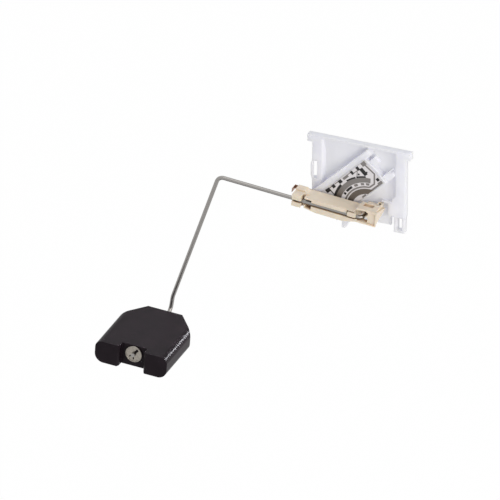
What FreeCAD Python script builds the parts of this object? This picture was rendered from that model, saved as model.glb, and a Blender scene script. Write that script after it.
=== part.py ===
import FreeCAD, Part
import Sketcher
import math
import os

# Fuel level sensor: a moulded housing carries a resistor card, a lever swings over the card on a
# bent steel wire, and a foam float turns on the far end of the wire.
# Frame: origin on the lever's pivot axis at the housing's back face, +X to the right along the
# housing's flange, +Z up, the viewer at -Y. A depth is a distance from the back face towards -Y.
# Raised angles are measured about the pivot from +X towards +Z.

# Driving dimensions in millimetres and degrees
SIZES = {
    # housing plate, measured from the pivot
    "plate_left": 38.3,
    "plate_right": 22.1,
    "plate_top": 42.3,
    "plate_foot": 9.9,
    "corner_cut": 9.0,
    "floor_wall": 1.6,
    "rim_depth": 4.4,
    # flange along the top and its two ears
    "flange_wall": 1.4,
    "ear_reach": 3.2,
    "ear_height": 4.6,
    "ear_groove": 0.9,
    "ear_groove_depth": 0.6,
    # pillars at the left and right of the recess
    "left_pillar": 6.3,
    "left_slope": 1.6,
    "right_pillar": 6.0,
    "right_slope": 7.8,
    "slope_crown": 1.6,
    "spring_slot_width": 2.7,
    "spring_slot_low": 12.8,
    "spring_slot_high": 25.0,
    "spring_bow": 0.9,
    "spring_wall": 0.6,
    "spring_depth": 1.7,
    # step across the upper part of the recess floor
    "raised_floor": 0.9,
    "raised_floor_line": 4.4,
    "raised_floor_slope": 2.8,
    # lower right of the plate with its forked leg
    "block_left": 11.2,
    "ledge_rise": 6.9,
    "ledge_step": 2.5,
    "stop_reach": 4.4,
    "shoulder_drop": 2.6,
    "leg_gap": 2.8,
    "leg_width": 6.7,
    "leg_drop": 10.0,
    "leg_step": 0.4,
    "leg_slot_width": 3.4,
    "leg_slot_drop": 8.8,
    # tapered tab under the plate
    "tab_left": 18.7,
    "tab_width": 6.3,
    "tab_drop": 6.8,
    "tab_tip": 2.1,
    # card seat, square to a line raised by card_angle
    "card_angle": 45.0,
    "card_offset": 8.4,
    "card_width": 17.7,
    "card_length": 42.0,
    "card_wall": 0.8,
    "seat_depth": 6.2,
    "seat_margin": 1.5,
    "card_clearance": 0.1,
    "rail_width": 4.0,
    "rail_crest": 0.9,
    "rail_rise": 0.8,
    "crest_start": 16.1,
    "crest_length": 14.0,
    "rail_tail": 6.0,
    "end_stop_gap": 7.0,
    "tongue_length": 8.5,
    "tongue_width": 3.9,
    "tongue_drop": 1.0,
    "guide_rib": 0.6,
    "guide_rib_length": 10.0,
    "guide_pad": 4.5,
    # print on the card
    "print_wall": 0.06,
    "outer_band_inside": 18.9,
    "outer_band_outside": 22.1,
    "inner_band_inside": 11.2,
    "inner_band_outside": 14.7,
    "band_low_angle": 183.4,
    "band_high_angle": 88.0,
    "trace_high_angle": 90.0,
    "ring_trace_radius": 15.9,
    "trace_width": 1.0,
    "link_width": 0.5,
    "stub_start": 2.6,
    "stub_length": 3.2,
    "edge_trace_width": 1.1,
    "edge_resistor_width": 1.0,
    "lower_resistor_width": 1.5,
    "trim_bar_radius": 17.8,
    "trim_bar_width": 1.5,
    "solder_pad": 2.6,
    "solder_pad_length": 3.4,
    "side_pad_width": 1.9,
    "trace_run_side": 3.2,
    "trace_run_low": 18.9,
    "trace_run_high": 25.8,
    "print_margin": 0.1,
    # bearing and lever
    "wire_diameter": 2.5,
    "bearing_clearance": 0.05,
    "bearing_wall": 0.8,
    "bearing_depth": 3.3,
    "bearing_radius": 3.4,
    "running_gap": 0.3,
    "hub_radius": 3.6,
    "hub_flange": 0.7,
    "hub_flange_wall": 0.9,
    "hook_width": 3.6,
    "hook_wall": 1.2,
    "lever_raise": 5.1,
    "lever_gap": 1.5,
    "front_cover": 1.8,
    "lever_body_left": 37.6,
    "lever_block_right": 9.0,
    "lever_block_left": 4.0,
    "lever_half_height": 4.2,
    "lever_foot": 4.8,
    "foot_taper_rise": 1.3,
    "lever_skin": 1.5,
    "lever_beam": 4.6,
    "lever_back_skin": 1.2,
    "block_top": 7.0,
    "block_foot": 2.8,
    "block_back_top": 4.4,
    "block_back_foot": 1.6,
    "block_back_left": 2.0,
    "post_top": 6.2,
    "post_width": 4.4,
    "beam_taper": 8.0,
    "clip_left": 45.2,
    "clip_length": 5.8,
    "clip_top": 5.5,
    "lug_wall": 1.7,
    "clip_step": 0.9,
    "lug_left": 9.2,
    "lug_length": 5.2,
    "lug_foot": 0.3,
    "lug_top": 3.0,
    "lug_slot": 0.45,
    "pocket_left": 5.3,
    "pocket_right": 3.3,
    "pocket_top": 6.2,
    "pocket_round": 2.2,
    "side_step": 0.4,
    "bank_width": 1.4,
    "bank_front": 5.9,
    "bank_back": 3.0,
    "stake_radius": 0.9,
    "stake_offset": 2.2,
    # wiper spring and its contact tips
    "spring_sheet": 0.3,
    "finger_width": 2.2,
    "finger_split": 0.8,
    "wiper_root": 5.0,
    "wiper_root_left": 33.0,
    "tip_radius": 0.7,
    "tip_height": 0.35,
    "finger_turn": 3.0,
    "finger_end": 1.1,
    "spring_tab_low": 1.5,
    "spring_tab_width": 2.6,
    "spring_tab_depth": 4.9,
    "spring_tab_gap": 2.9,
    # float wire beyond the lever
    "wire_offset": 10.2,
    "pivot_bend": 4.0,
    "arm_reach": 94.0,
    "drop_reach": 93.6,
    "drop_angle": 18.4,
    "tail_reach": 11.2,
    "tail_angle": 8.7,
    "arm_bend": 4.5,
    "tail_bend": 9.0,
    "float_bend": 5.0,
    # float and its retaining washer
    "float_width": 46.9,
    "float_length": 52.8,
    "float_height": 14.3,
    "float_gap": 8.5,
    "float_axis_drop": 5.5,
    "float_tilt": 3.65,
    "float_bore_clearance": 0.08,
    "float_top_round": 4.2,
    "float_foot_round": 5.8,
    "float_corner_width": 12.2,
    "float_corner_length": 16.0,
    "notch_width": 16.0,
    "notch_depth": 5.4,
    "notch_bevel": 1.6,
    "washer_radius": 5.25,
    "washer_wall": 0.6,
    "washer_rim": 0.5,
    "wire_end": 1.6,
}

VIEW = FreeCAD.Vector(0, -1, 0)
doc = FreeCAD.newDocument("FuelLevelSensor")
sheet = doc.addObject("Spreadsheet::Sheet", "Sizes")


class Size:
    """A driving dimension, or a sum of them: its value and the sheet formula that gives it."""

    def __init__(self, value, formula):
        self.value = value
        self.formula = formula

    def __add__(self, other):
        return combined(self, other, "+", lambda a, b: a + b)

    def __radd__(self, other):
        return combined(other, self, "+", lambda a, b: a + b)

    def __sub__(self, other):
        return combined(self, other, "-", lambda a, b: a - b)

    def __rsub__(self, other):
        return combined(other, self, "-", lambda a, b: a - b)

    def __mul__(self, other):
        return combined(self, other, "*", lambda a, b: a * b)

    def __rmul__(self, other):
        return combined(other, self, "*", lambda a, b: a * b)

    def __truediv__(self, other):
        return combined(self, other, "/", lambda a, b: a / b)

    def __neg__(self):
        return Size(-self.value, f"(-{self.formula})")


def as_size(number):
    return number if isinstance(number, Size) else Size(float(number), repr(float(number)))


def combined(left, right, sign, operation):
    left, right = as_size(left), as_size(right)
    return Size(operation(left.value, right.value), f"({left.formula} {sign} {right.formula})")


def cosine(angle):
    return Size(math.cos(math.radians(angle.value)), f"cos({angle.formula} * 1 deg)")


def sine(angle):
    return Size(math.sin(math.radians(angle.value)), f"sin({angle.formula} * 1 deg)")


class Sheet:
    """The spreadsheet's cells, one attribute for each driving dimension."""

    def __init__(self, sizes):
        for row, (name, value) in enumerate(sizes.items(), start=1):
            sheet.set(f"A{row}", name.replace("_", " "))
            sheet.set(f"B{row}", str(value))
            sheet.setAlias(f"B{row}", name)
            setattr(self, name, Size(float(value), f"Sizes.{name}"))


size = Sheet(SIZES)
doc.recompute()

ZERO = as_size(0)
CARD_FACE = size.seat_depth + size.card_wall
PRINT_FACE = CARD_FACE + size.print_wall
WIRE_DEPTH = CARD_FACE + size.wire_offset
WIRE_RADIUS = size.wire_diameter / 2
WIRE_WAY = WIRE_RADIUS + size.bearing_clearance
WIRE_WAY_BACK = WIRE_DEPTH - WIRE_WAY
WIRE_WAY_FRONT = WIRE_DEPTH + WIRE_WAY
WIRE_BACK_WALL = WIRE_WAY_BACK - size.lever_skin
LEVER_BACK = CARD_FACE + size.lever_gap
LEVER_FRONT = WIRE_DEPTH + size.front_cover
LUG_FRONT = WIRE_WAY_FRONT + size.lug_wall
CARD_FAR = size.card_offset + size.card_width
FLANGE_FOOT = size.plate_top - size.flange_wall
HUB_BACK = size.bearing_depth + size.running_gap
LEG_RIGHT = size.plate_right - size.leg_step
LEG_LEFT = LEG_RIGHT - size.leg_width
PLATE_FOOT_RIGHT = LEG_LEFT - size.leg_gap

# A sketch plane with x along the card, y towards +Y and its normal across the card
CARD_PLANE = "card plane"


# Building blocks

def new_body(label):
    body = doc.addObject("PartDesign::Body", label)
    body.Label = label
    body.AllowCompound = True
    return body


def new_sketch(body, plane, start):
    """A sketch parallel to one of the body's own planes or to CARD_PLANE, lifted along its normal."""
    role = "XY_Plane" if plane == CARD_PLANE else plane
    sketch = body.newObject("Sketcher::SketchObject", body.Label + "_sketch")
    support = [item for item in body.Origin.OriginFeatures if item.Role == role][0]
    sketch.AttachmentSupport = [(support, "")]
    sketch.MapMode = "FlatFace"
    lift = as_size(start)
    if plane == CARD_PLANE:
        turn = FreeCAD.Rotation(FreeCAD.Vector(0, 1, 0), -size.card_angle.value)
        sketch.AttachmentOffset = FreeCAD.Placement(FreeCAD.Vector(0, 0, 0), turn)
        sketch.setExpression("AttachmentOffset.Base.x", (-lift * sine(size.card_angle)).formula)
        lift = lift * cosine(size.card_angle)
    sketch.setExpression("AttachmentOffset.Base.z", lift.formula)
    return sketch


def tie(sketch, constraint, target):
    """Adds a constraint whose value the sheet gives."""
    number = sketch.addConstraint(constraint)
    sketch.setExpression(f"Constraints[{number}]", as_size(target).formula)


def tie_point(sketch, element, point, corner):
    across, up = as_size(corner[0]), as_size(corner[1])
    tie(sketch, Sketcher.Constraint("DistanceX", -1, 1, element, point, across.value), across)
    tie(sketch, Sketcher.Constraint("DistanceY", -1, 1, element, point, up.value), up)


def draw_outline(sketch, corners):
    """A closed outline of straight lines, each corner tied to the sheet."""
    first = sketch.GeometryCount
    places = [FreeCAD.Vector(as_size(x).value, as_size(y).value, 0) for x, y in corners]
    for start, end in zip(places, places[1:] + places[:1]):
        sketch.addGeometry(Part.LineSegment(start, end))
    for index, corner in enumerate(corners):
        before = first + (index - 1) % len(corners)
        sketch.addConstraint(Sketcher.Constraint("Coincident", before, 2, first + index, 1))
        tie_point(sketch, first + index, 1, corner)


def draw_circle(sketch, centre, radius):
    place = FreeCAD.Vector(as_size(centre[0]).value, as_size(centre[1]).value, 0)
    circle = sketch.addGeometry(Part.Circle(place, FreeCAD.Vector(0, 0, 1), radius.value))
    tie_point(sketch, circle, 3, centre)
    tie(sketch, Sketcher.Constraint("Radius", circle, radius.value), radius)


def rectangle(left, right, low, high):
    return [(left, low), (right, low), (right, high), (left, high)]


def add_prism(body, start, end, outlines=(), circles=(), plane="XZ_Plane"):
    """Pads outlines and circles from start to end along the plane's normal, -Y for XZ_Plane."""
    sketch = new_sketch(body, plane, start)
    for outline in outlines:
        draw_outline(sketch, outline)
    for centre, radius in circles:
        draw_circle(sketch, centre, radius)
    pad = body.newObject("PartDesign::Pad", body.Label + "_pad")
    pad.Profile = sketch
    pad.setExpression("Length", (end - start).formula)
    return pad


def cut_prism(body, start, end, outlines=(), circles=(), plane="XZ_Plane"):
    """Cuts outlines and circles from start to end along the plane's normal, and has to cut."""
    doc.recompute()
    volume = body.Shape.Volume
    sketch = new_sketch(body, plane, start)
    for outline in outlines:
        draw_outline(sketch, outline)
    for centre, radius in circles:
        draw_circle(sketch, centre, radius)
    pocket = body.newObject("PartDesign::Pocket", body.Label + "_pocket")
    pocket.Profile = sketch
    pocket.Reversed = True
    pocket.setExpression("Length", (end - start).formula)
    doc.recompute()
    if body.Shape.Volume > volume - 1e-6:
        raise RuntimeError(f"a cut in {body.Label} removes nothing")
    return pocket


def round_edges(body, radius, places, along):
    """Fillets the straight edges that run along an axis through the given places."""
    doc.recompute()
    tip = body.Tip
    names = []
    for number, edge in enumerate(tip.Shape.Edges, start=1):
        ends = [vertex.Point for vertex in edge.Vertexes]
        if len(ends) != 2 or abs((ends[1] - ends[0]).normalize().dot(along)) < 0.999:
            continue
        middle = (ends[0] + ends[1]) / 2
        middle = middle - along * middle.dot(along)
        if any((middle - place).Length < 0.05 for place in places):
            names.append(f"Edge{number}")
    if not names:
        raise RuntimeError(f"no edge of {body.Label} to round")
    fillet = body.newObject("PartDesign::Fillet", body.Label + "_round")
    fillet.Base = (tip, names)
    fillet.setExpression("Radius", radius.formula)


def on_card(along, across):
    """The place that lies along the card's long side and across from the pivot."""
    cos, sin = cosine(size.card_angle), sine(size.card_angle)
    return (along * cos - across * sin, along * sin + across * cos)


def card_rectangle(start, end, near, far):
    start, end, near, far = (as_size(value) for value in (start, end, near, far))
    return [on_card(start, near), on_card(end, near), on_card(end, far), on_card(start, far)]


def card_patch(along, across, length, width):
    """A rectangle of print given by its centre on the card and its two sides."""
    return card_rectangle(along - length / 2, along + length / 2, across - width / 2, across + width / 2)


def ring_sector(label, inside, outside, low_angle, high_angle, back, front):
    """A flat ring sector about the pivot between two raised angles."""
    turn = FreeCAD.Rotation(FreeCAD.Vector(1, 0, 0), 90)
    start = FreeCAD.Rotation(FreeCAD.Vector(0, 0, 1), as_size(low_angle).value)
    parts = []
    for name, radius, sweep in (("rim", outside, high_angle - low_angle), ("core", inside, 360)):
        cylinder = doc.addObject("Part::Cylinder", f"{label}_{name}")
        cylinder.Placement = FreeCAD.Placement(FreeCAD.Vector(0, 0, 0), turn * start)
        cylinder.setExpression("Radius", as_size(radius).formula)
        cylinder.setExpression("Height", (front - back).formula)
        cylinder.setExpression("Angle", as_size(sweep).formula)
        cylinder.setExpression("Placement.Base.y", (-back).formula)
        parts.append(cylinder)
    sector = doc.addObject("Part::Cut", label)
    sector.Base, sector.Tool = parts
    sector.Label = label
    return sector


def polar(radius, angle):
    """A place at a distance from the pivot and a raised angle in degrees."""
    angle = as_size(angle)
    return (radius * cosine(angle), radius * sine(angle))


# Housing

def build_housing():
    body = new_body("housing")
    add_plate(body)
    add_flange(body)
    add_pillars(body)
    add_lower_block(body)
    add_card_seat(body)
    add_bearing(body)
    cut_spring_slot(body)
    return body


def add_plate(body):
    left, right, foot = -size.plate_left, size.plate_right, -size.plate_foot
    outline = [
        (left, foot + size.corner_cut),
        (left + size.corner_cut, foot),
        (PLATE_FOOT_RIGHT, foot),
        (PLATE_FOOT_RIGHT, -size.shoulder_drop),
        (right, -size.shoulder_drop),
        (right, size.plate_top),
        (left, size.plate_top),
    ]
    add_prism(body, ZERO, size.floor_wall, [outline])
    tab_left = -size.tab_left
    tab_foot = foot - size.tab_drop
    tab = [
        (tab_left, foot + size.floor_wall),
        (tab_left, tab_foot),
        (tab_left + size.tab_tip, tab_foot),
        (tab_left + size.tab_width, foot + size.floor_wall),
    ]
    add_prism(body, ZERO, size.rim_depth, [tab])
    add_raised_floor(body)


def add_raised_floor(body):
    """The thicker floor above a slanting bank, from the left pillar to the card's rail."""
    along = size.raised_floor_line
    near = CARD_FAR + size.rail_width
    pillar = -size.plate_left + size.left_pillar
    top = FLANGE_FOOT
    corner = on_card(along, near)
    pillar_meet = (pillar, corner[1] + corner[0] - pillar)
    rail_meet = (corner[0] + (top - corner[1]), top)
    outline = [corner, rail_meet, (pillar, top), pillar_meet]
    low, high = size.floor_wall, size.floor_wall + size.raised_floor
    add_prism(body, low, high, [outline])
    root = -size.floor_wall / 2
    bank = [
        (along - size.raised_floor_slope, root),
        (along, root),
        (along, -high),
        (along - size.raised_floor_slope, -low),
    ]
    far = near + (corner[0] - pillar) / sine(size.card_angle) + size.raised_floor_slope
    add_prism(body, near - size.rail_width / 2, far, [bank], plane=CARD_PLANE)


def add_flange(body):
    left, right = -size.plate_left, size.plate_right
    ear_left, ear_right = left - size.ear_reach, right + size.ear_reach
    ear_foot = size.plate_top - size.ear_height
    ledge = rectangle(ear_left, ear_right, FLANGE_FOOT, size.plate_top)
    add_prism(body, ZERO, size.rim_depth, [ledge])
    inside = size.left_pillar / 4
    for start, end in ((ear_left, left + inside), (right - inside, ear_right)):
        add_prism(body, ZERO, size.rim_depth, [rectangle(start, end, ear_foot, size.plate_top)])
    middle = size.plate_top - size.ear_height / 2
    for end, way in ((ear_left, 1), (ear_right, -1)):
        groove = [
            (end - way, middle + size.ear_groove),
            (end - way, middle - size.ear_groove),
            (end + way * size.ear_groove_depth, middle),
        ]
        cut_prism(body, ZERO, size.rim_depth, [groove])


def add_pillars(body):
    left, right = -size.plate_left, size.plate_right
    top = FLANGE_FOOT
    foot = -size.plate_foot + size.corner_cut
    inner_left = left + size.left_pillar
    inner_right = right - size.right_pillar
    add_prism(body, ZERO, size.rim_depth, [rectangle(left, inner_left, foot, top)])
    add_prism(body, ZERO, size.rim_depth, [rectangle(inner_right, right, -size.shoulder_drop, top)])
    floor, rim = -size.floor_wall, -size.rim_depth
    left_fall = [(inner_left, floor), (inner_left, rim), (inner_left + size.left_slope, floor)]
    add_prism(body, foot, top, [left_fall], plane="XY_Plane")
    right_fall = [
        (inner_right, floor),
        (inner_right, rim),
        (inner_right - size.right_slope / 3, rim + size.slope_crown),
        (inner_right - size.right_slope, floor),
    ]
    add_prism(body, size.ledge_rise, top, [right_fall], plane="XY_Plane")


def add_lower_block(body):
    """The solid lower right of the plate, with the lever's lower stop and the forked leg."""
    shoulder = -size.shoulder_drop
    left, right = size.block_left, size.plate_right
    inner_right = right - size.right_pillar
    rise = size.ledge_rise
    stop_left = left - size.stop_reach
    outline = [
        (left, shoulder),
        (right, shoulder),
        (right, rise + size.ledge_step * 2),
        (inner_right, rise + size.ledge_step * 2),
        (left + size.ledge_step, rise + size.ledge_step),
        (left + size.ledge_step * 0.8, rise),
        (stop_left, rise),
        (stop_left, LEVER_STOP),
        (left, LEVER_STOP),
    ]
    add_prism(body, ZERO, size.rim_depth, [outline])
    leg = rectangle(LEG_LEFT, LEG_RIGHT, shoulder - size.leg_drop, shoulder + size.floor_wall)
    add_prism(body, ZERO, size.rim_depth, [leg])
    middle = (LEG_LEFT + LEG_RIGHT) / 2 + size.leg_step / 2
    half = size.leg_slot_width / 2
    slot = rectangle(middle - half, middle + half, shoulder - size.leg_slot_drop, shoulder)
    cut_prism(body, ZERO, size.rim_depth, [slot])


def add_card_seat(body):
    """The raised bed under the card, the rails beside it and the stops at its upper end."""
    half = size.card_length / 2 + size.card_clearance
    near = size.card_offset - size.card_clearance
    far = CARD_FAR + size.card_clearance
    outer_near = near - size.seat_margin
    outer_far = far + size.rail_width
    margin = size.seat_margin
    floor = size.floor_wall / 2
    bed = card_rectangle(-half - margin, half + margin, outer_near, outer_far)
    add_prism(body, floor, size.seat_depth, [bed])
    near_rail = card_rectangle(-half - margin, half + margin, outer_near, near)
    add_prism(body, floor, CARD_FACE, [near_rail])
    tail = half + size.rail_tail
    far_rail = card_rectangle(-half, tail, far, outer_far)
    add_prism(body, floor, CARD_FACE, [far_rail])
    crest_start = size.crest_start - half
    crest = card_rectangle(crest_start, crest_start + size.crest_length, outer_far - size.rail_crest,
                           outer_far)
    add_prism(body, floor, CARD_FACE + size.rail_rise, [crest])
    gap = size.end_stop_gap / 2
    middle = (near + far) / 2
    lower_stop = card_rectangle(half, half + margin, near, middle - gap)
    upper_stop = card_rectangle(half, half + margin, middle + gap, far)
    foot_stop = card_rectangle(-half - margin, -half, near, far + margin)
    add_prism(body, floor, CARD_FACE, [lower_stop, upper_stop, foot_stop])
    add_card_guides(body, half)


def add_card_guides(body, half):
    """The tongue that holds the card's end, and the rib and pad beside it."""
    floor = size.floor_wall / 2
    start = half
    centre = size.card_offset + size.tongue_width / 6
    side = size.tongue_width / 2
    end = start + size.tongue_length
    tongue = card_rectangle(start, end - side, centre - side, centre + side)
    front = size.seat_depth - size.tongue_drop
    add_prism(body, floor, front, [tongue])
    add_prism(body, floor, front, circles=[(on_card(end - side, centre), side)])
    rib_near = centre + side
    rib = card_rectangle(start, start + size.guide_rib_length, rib_near, rib_near + size.guide_rib)
    add_prism(body, floor, size.seat_depth, [rib])
    pad_near = CARD_FAR - size.guide_pad * 1.5
    pad_start = half + size.seat_margin
    guide = card_rectangle(pad_start, pad_start + size.guide_pad, pad_near, pad_near + size.guide_pad)
    add_prism(body, floor, front, [guide])


def add_bearing(body):
    """The blind bearing for the lever's wire, the hooks over its hub and the upper stop."""
    floor = size.floor_wall / 2
    centre = (ZERO, ZERO)
    add_prism(body, floor, size.bearing_depth, circles=[(centre, size.bearing_radius)])
    cut_prism(body, size.bearing_wall, size.bearing_depth, circles=[(centre, WIRE_WAY)])
    hook_inside = size.hub_radius + size.hub_flange + size.running_gap
    flange_front = HUB_BACK + size.hub_flange_wall
    for angle in (-135, -175):
        add_prism(body, floor, flange_front + size.running_gap + size.hook_wall,
                  [hub_hook(hook_inside, angle)])
        add_prism(body, flange_front + size.running_gap, flange_front + size.running_gap + size.hook_wall,
                  [hub_hook(hook_inside - size.hub_flange * 0.75, angle)])
    stop = rectangle(UPPER_STOP - size.hook_wall, UPPER_STOP, -size.plate_foot, -HUB_REACH)
    add_prism(body, floor, size.rim_depth, [stop])


def hub_hook(inside, angle):
    """A short block that stands outside a radius at a raised angle."""
    angle = as_size(angle)
    cos, sin = cosine(angle), sine(angle)
    half = size.hook_width / 2
    outside = size.hub_radius + size.hub_flange + size.running_gap + size.hook_wall
    corners = ((inside, -half), (outside, -half), (outside, half), (inside, half))
    return [(out * cos - side * sin, out * sin + side * cos) for out, side in corners]


def cut_spring_slot(body):
    """The slot that frees a thin bowed strip at the front of the plate's left side."""
    left = -size.plate_left
    low, high = size.spring_slot_low, size.spring_slot_high
    slot_left = left + size.spring_wall
    cut_prism(body, ZERO, size.rim_depth,
              [rectangle(slot_left, slot_left + size.spring_slot_width, low, high)])
    strip_back = size.rim_depth - size.spring_depth
    cut_prism(body, ZERO, strip_back, [rectangle(left - size.spring_wall, slot_left, low, high)])
    bow = [
        (left, low - size.spring_bow),
        (left - size.spring_bow, low + size.spring_slot_width),
        (left - size.spring_bow, high - size.spring_slot_width),
        (left, high + size.spring_bow),
    ]
    add_prism(body, strip_back, size.rim_depth, [bow])


# The lever's lower stop faces the back corner of its block, which the lever raises by its own angle
HUB_REACH = size.hub_radius + size.hub_flange + size.running_gap
BLOCK_CORNER = (size.post_top * cosine(size.lever_raise)
                - (size.block_left - size.stop_reach) * sine(size.lever_raise))
LEVER_STOP = BLOCK_CORNER + size.running_gap
UPPER_STOP = (size.block_back_foot - size.running_gap) * cosine(size.lever_raise) - size.running_gap


# Resistor card and its print

def build_card():
    body = new_body("resistor_card")
    half = size.card_length / 2
    outline = card_rectangle(-half, half, size.card_offset, CARD_FAR)
    add_prism(body, size.seat_depth, CARD_FACE, [outline])
    return body


def build_bands():
    """The two contact bands; the card's long side trims the inner one."""
    outer = ring_sector("outer_contact_band", size.outer_band_inside, size.outer_band_outside,
                        size.band_high_angle, size.band_low_angle, CARD_FACE, PRINT_FACE)
    ring = ring_sector("inner_band_ring", size.inner_band_inside, size.inner_band_outside,
                       size.card_angle, size.card_angle + 180, CARD_FACE, PRINT_FACE)
    area = doc.addObject("Part::Box", "card_area")
    margin = size.print_margin
    corner = on_card(-size.card_length / 2, size.card_offset + margin)
    area.setExpression("Length", size.card_length.formula)
    area.setExpression("Width", size.print_wall.formula)
    area.setExpression("Height", (size.card_width - margin).formula)
    area.Placement = FreeCAD.Placement(
        FreeCAD.Vector(0, 0, 0), FreeCAD.Rotation(VIEW, size.card_angle.value))
    area.setExpression("Placement.Base.x", corner[0].formula)
    area.setExpression("Placement.Base.y", (-PRINT_FACE).formula)
    area.setExpression("Placement.Base.z", corner[1].formula)
    inner = doc.addObject("Part::Common", "inner_contact_band")
    inner.Base, inner.Tool = ring, area
    inner.Label = "inner_contact_band"
    return [outer, inner]


def trimmed(label, piece, *others):
    """A piece of print that stops where the others begin."""
    for number, other in enumerate(others, start=1):
        cut = doc.addObject("Part::Cut", f"{label}_{number}")
        cut.Base, cut.Tool = piece, other
        piece = cut
    piece.Label = label
    return piece


def thick_line(start, end, width):
    """A strip of print between two places of the card, square at both ends."""
    run, rise = end[0].value - start[0].value, end[1].value - start[1].value
    length = math.hypot(run, rise)
    side = (width * (-rise / length / 2), width * (run / length / 2))
    return [
        (start[0] + side[0], start[1] + side[1]),
        (end[0] + side[0], end[1] + side[1]),
        (end[0] - side[0], end[1] - side[1]),
        (start[0] - side[0], start[1] - side[1]),
    ]


def build_ring_trace(top_pad):
    """The thin ring beside the inner band and the run from its upper end to the top pad."""
    ring = ring_sector("trace_ring", size.ring_trace_radius - size.trace_width / 2,
                       size.ring_trace_radius + size.trace_width / 2, size.trace_high_angle,
                       size.band_low_angle, CARD_FACE, PRINT_FACE)
    run = new_body("trace_run")
    corner_low = (size.trace_run_side, size.trace_run_low)
    corner_high = (size.trace_run_side, size.trace_run_high)
    ring_end = polar(size.ring_trace_radius, size.trace_high_angle)
    pad_middle = on_card((size.card_length - size.solder_pad_length) / 2, CARD_FAR - size.solder_pad / 2)
    for start, end in ((ring_end, corner_low), (corner_low, corner_high), (corner_high, pad_middle)):
        add_prism(run, CARD_FACE, PRINT_FACE, [thick_line(start, end, size.trace_width)])
    for joint in (corner_low, corner_high):
        add_prism(run, CARD_FACE, PRINT_FACE, circles=[(joint, size.trace_width / 2)])
    whole = doc.addObject("Part::Fuse", "whole_trace")
    whole.Base, whole.Tool = ring, run
    return trimmed("ring_trace", whole, top_pad)


def from_end(distance):
    """The place along the card at a distance from its upper end, or from its lower end if negative."""
    half = size.card_length / 2
    return half - distance if distance > 0 else -half - distance


def build_patches(label, patches, lines=()):
    """Rectangles of print, by centre and sides, and thin lines, by their two ends on the card."""
    body = new_body(label)
    for along, across, length, width in patches:
        patch = card_patch(from_end(along), size.card_offset + across, length, width)
        add_prism(body, CARD_FACE, PRINT_FACE, [patch])
    for start, end in lines:
        places = [on_card(from_end(along), size.card_offset + across) for along, across in (start, end)]
        add_prism(body, CARD_FACE, PRINT_FACE, [thick_line(*places, size.link_width)])
    return body


def build_print():
    outer_band, inner_band = build_bands()
    half, pad = size.card_length / 2, size.solder_pad
    margin = size.print_margin
    near = size.card_offset + margin
    top_pad = new_body("upper_solder_pad")
    add_prism(top_pad, CARD_FACE, PRINT_FACE,
              [card_rectangle(half - size.solder_pad_length, half - margin, CARD_FAR - pad,
                              CARD_FAR - margin)])
    side_pad = new_body("side_solder_pad")
    add_prism(side_pad, CARD_FACE, PRINT_FACE,
              [card_rectangle(half - size.solder_pad_length, half - margin, near,
                              near + size.side_pad_width)])
    edge_line = new_body("edge_line")
    edge_start = size.inner_band_inside
    add_prism(edge_line, CARD_FACE, PRINT_FACE,
              [card_rectangle(edge_start, half - size.solder_pad_length, near,
                              near + size.edge_trace_width)])
    patches = build_patches("resistor_patches", RESISTOR_PATCHES)
    links = build_patches("link_lines", LINK_PADS, LINK_LINES)
    stub = card_rectangle(size.stub_start, size.stub_start + size.stub_length, near,
                          near + size.trace_width)
    add_prism(links, CARD_FACE, PRINT_FACE, [stub])
    pieces = [outer_band, inner_band, build_ring_trace(top_pad), top_pad, side_pad, patches]
    pieces.append(trimmed("edge_trace", edge_line, inner_band))
    edge_resistors = build_edge_resistors()
    pieces.append(trimmed("link_traces", links, patches, *edge_resistors[:2]))
    pieces += edge_resistors
    pieces.append(build_bars("trim_bars", TRIM_BAR_ANGLES))
    pieces.append(build_bars("trim_resistors", TRIM_RESISTOR_ANGLES))
    return pieces


# Places on the card: from its upper end, or from its lower end if negative, then across it from its
# lower right side, and both sides
RESISTOR_PATCHES = (
    (1.4, 3.6, 2.0, 2.0),
    (7.2, 16.2, 2.0, 2.6),
    (5.6, 13.7, 2.6, 3.0),
    (5.6, 11.2, 2.6, 2.6),
    (4.0, 11.1, 1.0, 0.9),
    (12.4, 16.2, 1.8, 2.4),
    (9.4, 13.0, 1.1, 1.1),
    (-18.9, 16.2, 2.6, 2.2),
    (-13.0, 16.3, 2.3, 2.2),
    (-8.0, 16.3, 3.4, 2.4),
    (-9.3, 13.7, 0.7, 2.9),
)
LINK_PADS = (
    (18.1, 16.3, 4.4, 1.6),
)
# Both ends of each line, along and across as above
LINK_LINES = (
    ((17.0, 16.9), (13.0, 16.9)),
    ((-14.5, 16.9), (-18.0, 16.9)),
    ((-9.5, 16.9), (-12.0, 16.9)),
    ((12.0, 15.4), (8.0, 15.4)),
    ((8.7, 15.2), (11.5, 12.4)),
)
EDGE_RESISTOR_ANGLES = ((96, 112), (113.5, 130.5), (143, 168))
TRIM_BAR_ANGLES = ((90, 97), (101, 108), (115, 123))
TRIM_RESISTOR_ANGLES = ((129, 145), (149, 154))


def build_edge_resistors():
    """The dark arcs that trim the outer band along its outer side."""
    inside = size.outer_band_outside
    names = ("upper_edge_resistor", "middle_edge_resistor", "lower_edge_resistor")
    widths = (size.edge_resistor_width, size.edge_resistor_width, size.lower_resistor_width)
    return [ring_sector(name, inside, inside + width, as_size(start), as_size(end), CARD_FACE, PRINT_FACE)
            for name, width, (start, end) in zip(names, widths, EDGE_RESISTOR_ANGLES)]


def build_bars(label, angles):
    """Short bars between the two contact bands, one solid each."""
    inside = size.trim_bar_radius - size.trim_bar_width / 2
    outside = size.trim_bar_radius + size.trim_bar_width / 2
    bars = [ring_sector(f"{label}_{number}", inside, outside, as_size(start), as_size(end),
                        CARD_FACE, PRINT_FACE)
            for number, (start, end) in enumerate(angles, start=1)]
    group = doc.addObject("Part::Compound", label)
    group.Links = bars
    group.Label = label
    return group


# Lever, modelled level and then raised about the pivot

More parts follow.
